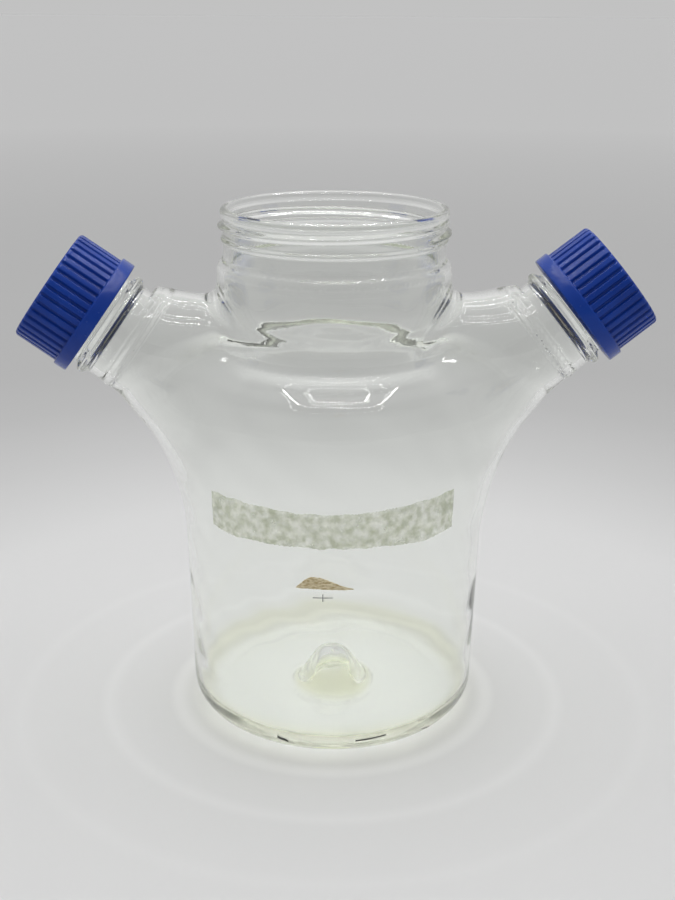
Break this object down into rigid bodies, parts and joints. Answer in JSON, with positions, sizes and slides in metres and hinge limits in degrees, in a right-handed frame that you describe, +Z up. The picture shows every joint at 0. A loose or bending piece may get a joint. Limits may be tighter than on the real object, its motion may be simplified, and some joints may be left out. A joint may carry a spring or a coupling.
{
  "type": "double side-arm spinner flask",
  "caption": "One-litre glass culture flask with a wide screw-finished neck and two slanted side arms, each closed by a ribbed blue screw cap.",
  "frame": {"origin": "on the bench, on the vessel's own axis", "axes": "+Z up along the vessel's axis; +X along the right-hand side arm; the front, with the label residue, looks along -Y"},
  "size_m": [0.2761, 0.1356, 0.229],
  "materials": {
    "glass": "clear borosilicate, fire-polished, faintly green where thick",
    "blue_plastic": "moulded polypropylene, semi-gloss",
    "liner": "matt silicone disc",
    "adhesive_film": "dried label adhesive, translucent grey",
    "paper": "torn scrap of brown paper"
  },
  "bodies": {
    "flask": {"vessel_floor": "glass", "vessel_wall": "glass", "vessel_shoulder": "glass", "centre_neck": "glass", "left_arm": "glass", "right_arm": "glass", "left_threaded_end": "glass", "right_threaded_end": "glass", "label_residue": "adhesive_film", "paper_scrap": "paper"},
    "left_seal": {"left_liner": "liner"},
    "left_cap": {"left_cap": "blue_plastic"},
    "right_seal": {"right_liner": "liner"},
    "right_cap": {"right_cap": "blue_plastic"}
  },
  "joints": [
    {"name": "left_cap_lift", "type": "slide", "parent": "flask", "child": "left_seal", "axis": [-0.8131, 0, 0.5821], "range_m": [0, 0.008]},
    {"name": "left_cap_turn", "type": "hinge", "parent": "left_seal", "child": "left_cap", "pos_m": [-0.101, 0, 0.181], "axis": [-0.8131, 0, 0.5821], "range_deg": [0, 720]},
    {"name": "right_cap_lift", "type": "slide", "parent": "flask", "child": "right_seal", "axis": [0.7804, 0, 0.6252], "range_m": [0, 0.008]},
    {"name": "right_cap_turn", "type": "hinge", "parent": "right_seal", "child": "right_cap", "pos_m": [0.104, 0, 0.1835], "axis": [0.7804, 0, 0.6252], "range_deg": [0, 720]}
  ],
  "couplings": [
    {"joint": "left_cap_lift", "follows": "left_cap_turn", "m_per_rad": 0.00063661},
    {"joint": "right_cap_lift", "follows": "right_cap_turn", "m_per_rad": 0.00063661}
  ]
}
